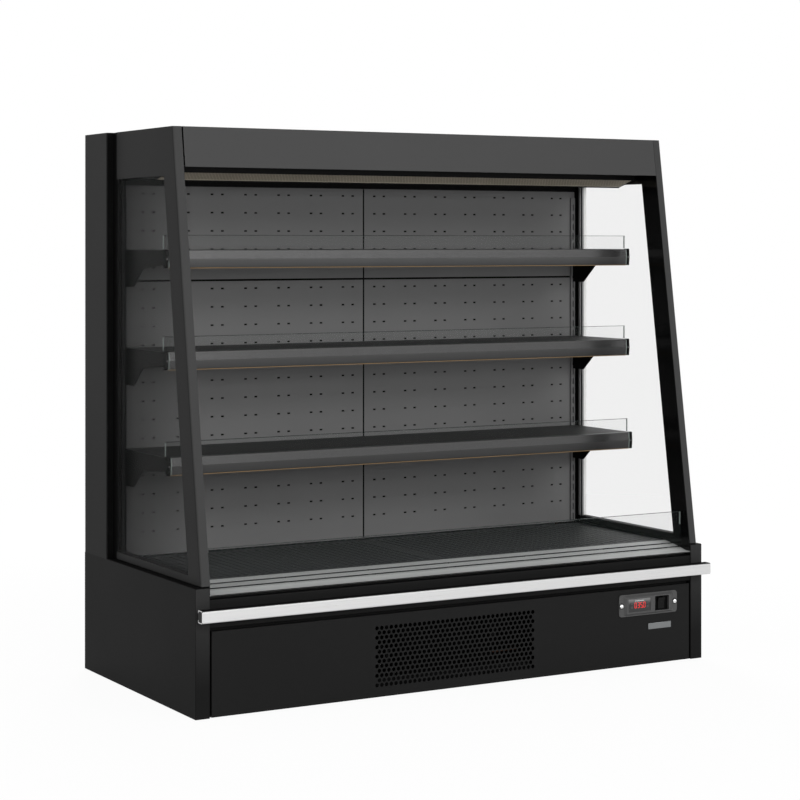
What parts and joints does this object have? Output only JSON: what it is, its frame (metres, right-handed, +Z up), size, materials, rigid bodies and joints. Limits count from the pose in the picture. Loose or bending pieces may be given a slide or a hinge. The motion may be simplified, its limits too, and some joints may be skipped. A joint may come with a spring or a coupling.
{
  "type": "open multideck display fridge",
  "caption": "Open-fronted refrigerated display case with shelves, glazed sides, a slotted return-air lip, a front bumper rail and a service panel with controls.",
  "frame": {"origin": "on the floor, at the centre of the outline with the bumper rail", "axes": "+X along the front to the shopper's right, +Y from the front to the back, +Z up"},
  "size_m": [1.6, 0.79, 1.504],
  "materials": {
    "dark_painted_steel": "satin powder coat, dark grey",
    "black_painted_steel": "satin black powder coat",
    "interior_painted_steel": "matt grey powder coat",
    "lip_painted_steel": "satin light grey powder coat with fine grain",
    "brushed_stainless_steel": "brushed along its length",
    "bright_chrome": "polished",
    "galvanised_steel": "galvanised sheet, dull",
    "black_gloss_plastic": "glossy black",
    "grey_moulded_plastic": "fine moulded grain",
    "black_moulded_plastic": "fine moulded grain",
    "display_window_plastic": "smoked window",
    "beige_grid_plastic": "matt",
    "lamp_plastic": "opal cover",
    "clear_glass": "clear toughened glass",
    "copper_tube": "bare copper",
    "aluminium_fins": "bare fin stock",
    "dark_coated_aluminium": "satin powder coat, dark grey",
    "foam_filled_panel": "foam core between painted sheets"
  },
  "bodies": {
    "cabinet": {"base_side_panel_left": "dark_painted_steel", "base_side_panel_right": "dark_painted_steel", "base_front_rail": "dark_painted_steel", "base_frame": "black_painted_steel", "rear_base_cover": "black_painted_steel", "bumper_rail": "brushed_stainless_steel", "bumper_brackets": "black_painted_steel", "insulated_tank": "black_moulded_plastic", "rear_wall_panel": "foam_filled_panel", "back_box_cheek_left": "foam_filled_panel", "back_box_cheek_right": "foam_filled_panel", "side_frame_left": "dark_coated_aluminium", "side_frame_right": "dark_coated_aluminium", "side_glass_left": "clear_glass", "side_glass_right": "clear_glass", "side_seal_strips": "black_gloss_plastic", "roof_panel": "foam_filled_panel", "front_fascia": "dark_painted_steel", "canopy_ceiling": "interior_painted_steel", "air_discharge_honeycomb": "beige_grid_plastic", "canopy_lamp": "lamp_plastic", "back_panels": "interior_painted_steel", "shelf_uprights": "black_painted_steel", "return_air_grille": "lip_painted_steel", "deck_riser_glass": "clear_glass", "evaporator_coil": "aluminium_fins", "evaporator_fan_plate": "galvanised_steel", "compressor": "black_painted_steel", "condenser_coil": "aluminium_fins", "condenser_fan_shroud": "black_painted_steel", "refrigerant_pipes": "copper_tube", "drip_tray": "black_moulded_plastic", "electrical_box": "grey_moulded_plastic", "levelling_feet": "black_moulded_plastic"},
    "service_panel": {"front_service_panel": "dark_painted_steel", "control_bezel": "grey_moulded_plastic", "display_module": "display_window_plastic", "bezel_screws": "bright_chrome"},
    "rocker": {"rocker_switch": "black_moulded_plastic"},
    "key_left_upper": {"controller_key_left_upper": "grey_moulded_plastic"},
    "key_left_lower": {"controller_key_left_lower": "grey_moulded_plastic"},
    "key_right_upper": {"controller_key_right_upper": "grey_moulded_plastic"},
    "key_right_lower": {"controller_key_right_lower": "grey_moulded_plastic"},
    "condenser_fan": {"condenser_fan": "black_moulded_plastic"},
    "evaporator_fan_left": {"evaporator_fan_left": "black_moulded_plastic"},
    "evaporator_fan_right": {"evaporator_fan_right": "black_moulded_plastic"},
    "deck_pan_left": {"deck_pan_left": "interior_painted_steel"},
    "deck_pan_right": {"deck_pan_right": "interior_painted_steel"},
    "shelf_1": {"shelf_1_plate": "interior_painted_steel", "shelf_1_brackets": "black_painted_steel", "shelf_1_price_rail": "dark_painted_steel", "shelf_1_riser": "clear_glass"},
    "shelf_2": {"shelf_2_plate": "interior_painted_steel", "shelf_2_brackets": "black_painted_steel", "shelf_2_price_rail": "dark_painted_steel", "shelf_2_riser": "clear_glass"},
    "shelf_3": {"shelf_3_plate": "interior_painted_steel", "shelf_3_brackets": "black_painted_steel", "shelf_3_price_rail": "dark_painted_steel", "shelf_3_riser": "clear_glass"}
  },
  "joints": [
    {"name": "service_panel_slide", "type": "slide", "parent": "cabinet", "child": "service_panel", "axis": [0, -1, 0], "range_m": [0, 0.05]},
    {"name": "rocker_tip", "type": "hinge", "parent": "service_panel", "child": "rocker", "pos_m": [0.651, -0.349, 0.1745], "axis": [1, 0, 0], "range_deg": [-12, 0]},
    {"name": "key_left_upper_press", "type": "slide", "parent": "service_panel", "child": "key_left_upper", "axis": [0, 1, 0], "range_m": [0, 0.0006], "stiffness_N_per_m": 300, "springref_m": -0.001},
    {"name": "key_left_lower_press", "type": "slide", "parent": "service_panel", "child": "key_left_lower", "axis": [0, 1, 0], "range_m": [0, 0.0006], "stiffness_N_per_m": 300, "springref_m": -0.001},
    {"name": "key_right_upper_press", "type": "slide", "parent": "service_panel", "child": "key_right_upper", "axis": [0, 1, 0], "range_m": [0, 0.0006], "stiffness_N_per_m": 300, "springref_m": -0.001},
    {"name": "key_right_lower_press", "type": "slide", "parent": "service_panel", "child": "key_right_lower", "axis": [0, 1, 0], "range_m": [0, 0.0006], "stiffness_N_per_m": 300, "springref_m": -0.001},
    {"name": "condenser_fan_spin", "type": "hinge", "parent": "cabinet", "child": "condenser_fan", "pos_m": [-0.03, -0.184, 0.134], "axis": [0, -1, 0], "continuous": true},
    {"name": "evaporator_fan_left_spin", "type": "hinge", "parent": "cabinet", "child": "evaporator_fan_left", "pos_m": [-0.35, 0.14, 0.292], "axis": [0, -0.3956, 0.9184], "continuous": true},
    {"name": "evaporator_fan_right_spin", "type": "hinge", "parent": "cabinet", "child": "evaporator_fan_right", "pos_m": [0.35, 0.14, 0.292], "axis": [0, -0.3956, 0.9184], "continuous": true},
    {"name": "shelf_1_lift", "type": "slide", "parent": "cabinet", "child": "shelf_1", "axis": [0, 0, 1], "range_m": [0, 0.012]},
    {"name": "shelf_2_lift", "type": "slide", "parent": "cabinet", "child": "shelf_2", "axis": [0, 0, 1], "range_m": [0, 0.012]},
    {"name": "shelf_3_lift", "type": "slide", "parent": "cabinet", "child": "shelf_3", "axis": [0, 0, 1], "range_m": [0, 0.012]},
    {"name": "deck_pan_left_lift", "type": "slide", "parent": "cabinet", "child": "deck_pan_left", "axis": [0, 0, 1], "range_m": [0, 0.1]},
    {"name": "deck_pan_right_lift", "type": "slide", "parent": "cabinet", "child": "deck_pan_right", "axis": [0, 0, 1], "range_m": [0, 0.1]}
  ]
}
